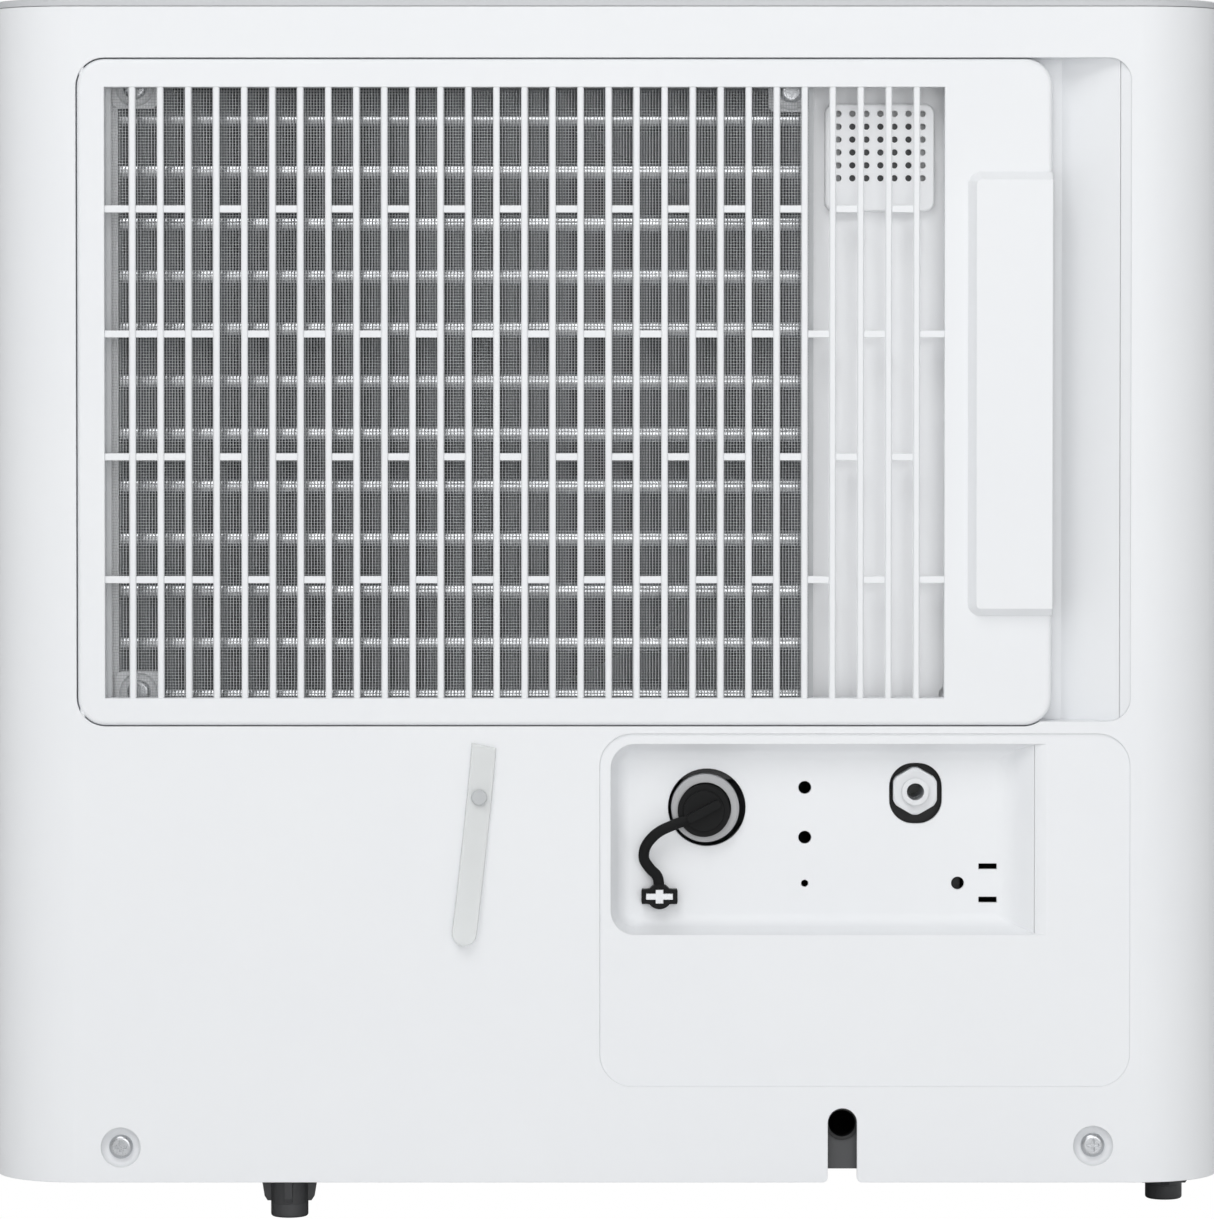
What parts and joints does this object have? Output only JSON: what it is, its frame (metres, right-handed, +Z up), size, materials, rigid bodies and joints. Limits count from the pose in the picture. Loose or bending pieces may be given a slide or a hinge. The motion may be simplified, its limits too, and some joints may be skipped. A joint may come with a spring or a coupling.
{
  "type": "compressor dehumidifier",
  "caption": "Floor-standing compressor air unit with rear filter door, drain recess, top outlet louvres and front bucket.",
  "frame": {"origin": "centre of the bounding box on the floor, under the feet", "axes": "+Z up; -Y out of the rear face with the filter door and drain outlets; +Y out of the front with the bucket; +X to the right seen from the rear face"},
  "size_m": [0.49, 0.35, 0.4869],
  "materials": {
    "casing_abs": "fine moulded texture",
    "lid_abs": "fine moulded texture",
    "dark_plastic": "moulded, satin",
    "rubber": "moulded, matt",
    "zinc_steel": "zinc plated",
    "filter_nylon": "fine woven mesh",
    "aluminium_fin": "thin pressed sheet",
    "copper": "drawn tube",
    "circuit_board": "solder mask",
    "grey_plastic": "moulded, satin",
    "fitting_acetal": "moulded, satin",
    "clear_flexible": "translucent, moulded",
    "painted_steel": "black enamel",
    "aluminium_can": "drawn can",
    "smoked_window": "polished, tinted",
    "clear_window": "clear moulded plastic",
    "bucket_plastic": "moulded, translucent grey",
    "button_plastic": "moulded, satin"
  },
  "bodies": {
    "cabinet": {"base_pan": "dark_plastic", "capillary_tube": "copper", "coil_frame": "casing_abs", "coil_screws": "zinc_steel", "compressor": "painted_steel", "compressor_grommets": "rubber", "compressor_studs": "zinc_steel", "condenser_fins": "aluminium_fin", "condenser_tubes": "copper", "control_board": "circuit_board", "control_panel": "lid_abs", "cord_grommet": "dark_plastic", "cover_screws": "zinc_steel", "discharge_pipe": "copper", "display_lens": "smoked_window", "door_tray": "casing_abs", "drain_pump": "dark_plastic", "drain_spout": "grey_plastic", "drip_tray": "dark_plastic", "evaporator_fins": "aluminium_fin", "evaporator_tubes": "copper", "fan_motor": "painted_steel", "fan_scroll": "dark_plastic", "filter_drier": "copper", "foot_posts": "dark_plastic", "front_cover": "casing_abs", "hose_fitting": "fitting_acetal", "outlet_frame": "lid_abs", "plug_tether": "rubber", "pump_hose": "clear_flexible", "rear_cover": "casing_abs", "recess_cups": "casing_abs", "rubber_feet": "rubber", "run_capacitor": "aluminium_can", "sensor_board": "circuit_board", "sensor_cover": "casing_abs", "strap_stud": "clear_flexible", "suction_pipe": "copper", "top_lid": "lid_abs"},
    "filter_door": {"filter_door": "casing_abs", "filter_mesh": "filter_nylon"},
    "drain_plug": {"drain_plug": "rubber", "plug_seal": "rubber"},
    "fitting_collet": {"fitting_collet": "fitting_acetal"},
    "fan_wheel": {"fan_wheel": "dark_plastic", "motor_shaft": "zinc_steel"},
    "louvre_rear": {"louvre_rear": "lid_abs"},
    "louvre_middle": {"louvre_middle": "lid_abs"},
    "louvre_front": {"louvre_front": "lid_abs"},
    "louvre_link": {"louvre_link": "dark_plastic"},
    "bucket": {"bucket_tub": "bucket_plastic", "bucket_front": "casing_abs", "level_window": "clear_window"},
    "bucket_float": {"bucket_float": "fitting_acetal"},
    "cord_strap": {"cord_strap": "clear_flexible"},
    "power_button": {"power_button": "button_plastic"},
    "mode_button": {"mode_button": "button_plastic"},
    "fan_button": {"fan_button": "button_plastic"},
    "down_button": {"down_button": "button_plastic"},
    "up_button": {"up_button": "button_plastic"}
  },
  "joints": [
    {"name": "filter_door_hinge", "type": "hinge", "parent": "cabinet", "child": "filter_door", "pos_m": [-0.208, -0.1686, 0.33085], "axis": [0, 0, -1], "range_deg": [0, 50]},
    {"name": "drain_plug_pull", "type": "slide", "parent": "cabinet", "child": "drain_plug", "axis": [0, -1, 0], "range_m": [0, 0.022]},
    {"name": "fitting_collet_press", "type": "slide", "parent": "cabinet", "child": "fitting_collet", "axis": [0, 1, 0], "range_m": [0, 0.0012], "stiffness_N_per_m": 600, "springref_m": -0.0005},
    {"name": "fan_spin", "type": "hinge", "parent": "cabinet", "child": "fan_wheel", "pos_m": [-0.0575, -0.06, 0.325], "axis": [0, 1, 0], "continuous": true},
    {"name": "louvre_rear_tilt", "type": "hinge", "parent": "cabinet", "child": "louvre_rear", "pos_m": [-0.12, -0.079, 0.482], "axis": [1, 0, 0], "range_deg": [0, 60]},
    {"name": "louvre_middle_tilt", "type": "hinge", "parent": "cabinet", "child": "louvre_middle", "pos_m": [-0.12, -0.058, 0.482], "axis": [1, 0, 0], "range_deg": [0, 60]},
    {"name": "louvre_front_tilt", "type": "hinge", "parent": "cabinet", "child": "louvre_front", "pos_m": [-0.12, -0.037, 0.482], "axis": [1, 0, 0], "range_deg": [0, 60]},
    {"name": "louvre_link_swing", "type": "hinge", "parent": "louvre_rear", "child": "louvre_link", "pos_m": [-0.0658, -0.079, 0.472], "axis": [1, 0, 0], "range_deg": [-60, 0]},
    {"name": "bucket_slide", "type": "slide", "parent": "cabinet", "child": "bucket", "axis": [0, 1, 0], "range_m": [0, 0.2]},
    {"name": "bucket_float_lift", "type": "hinge", "parent": "bucket", "child": "bucket_float", "pos_m": [-0.191, 0.0555, 0.148], "axis": [0, -1, 0], "range_deg": [0, 12]},
    {"name": "cord_strap_swivel", "type": "hinge", "parent": "cabinet", "child": "cord_strap", "pos_m": [-0.0506, -0.1717, 0.1704], "axis": [0, 1, 0], "range_deg": [-45, 45]},
    {"name": "power_button_press", "type": "slide", "parent": "cabinet", "child": "power_button", "axis": [0, 0, -1], "range_m": [0, 0.001], "stiffness_N_per_m": 500, "springref_m": -0.0005},
    {"name": "mode_button_press", "type": "slide", "parent": "cabinet", "child": "mode_button", "axis": [0, 0, -1], "range_m": [0, 0.001], "stiffness_N_per_m": 500, "springref_m": -0.0005},
    {"name": "fan_button_press", "type": "slide", "parent": "cabinet", "child": "fan_button", "axis": [0, 0, -1], "range_m": [0, 0.001], "stiffness_N_per_m": 500, "springref_m": -0.0005},
    {"name": "down_button_press", "type": "slide", "parent": "cabinet", "child": "down_button", "axis": [0, 0, -1], "range_m": [0, 0.001], "stiffness_N_per_m": 500, "springref_m": -0.0005},
    {"name": "up_button_press", "type": "slide", "parent": "cabinet", "child": "up_button", "axis": [0, 0, -1], "range_m": [0, 0.001], "stiffness_N_per_m": 500, "springref_m": -0.0005}
  ],
  "couplings": [
    {"joint": "louvre_middle_tilt", "follows": "louvre_rear_tilt", "ratio": 1},
    {"joint": "louvre_front_tilt", "follows": "louvre_rear_tilt", "ratio": 1},
    {"joint": "louvre_link_swing", "follows": "louvre_rear_tilt", "ratio": -1}
  ]
}
